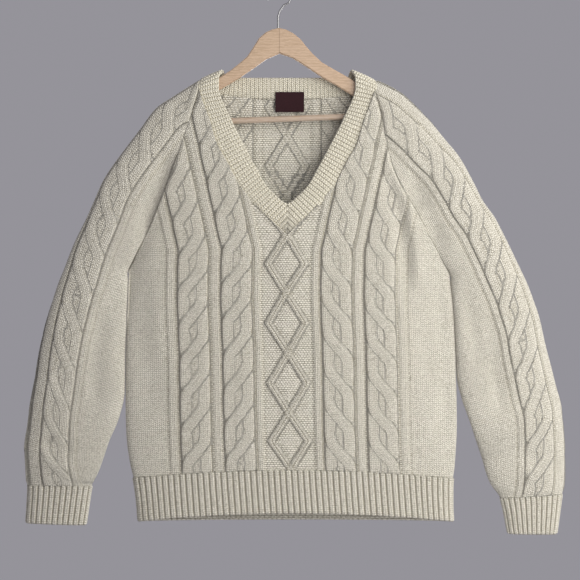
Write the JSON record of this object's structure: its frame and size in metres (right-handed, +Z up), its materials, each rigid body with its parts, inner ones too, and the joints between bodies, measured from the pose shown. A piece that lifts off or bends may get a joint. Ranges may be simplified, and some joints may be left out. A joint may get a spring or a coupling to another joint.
{
  "type": "cable knit sweater on hanger",
  "caption": "Cable knit V-neck pullover with raglan sleeves, ribbed hem and cuffs, hung on a wooden hanger with a wire hook.",
  "frame": {"origin": "top inside of the hanger's hook, where it bears on a rail", "axes": "+Z up, +X to the viewer's right, the chest faces -Y"},
  "size_m": [0.8839, 0.0502, 0.9025],
  "materials": {
    "knit": "matte wool knit",
    "knit_band": "matte wool rib",
    "label": "woven label",
    "wood": "satin varnish",
    "wire": "bright"
  },
  "bodies": {
    "root": {"front": "knit", "back": "knit", "sleeve_left": "knit", "sleeve_right": "knit", "hem_front": "knit", "hem_back": "knit", "cuff_left": "knit", "cuff_right": "knit", "neckband": "knit_band", "label": "label", "hanger_wood": "wood", "hanger_bar": "wood", "hanger_hook": "wire"}
  },
  "joints": []
}
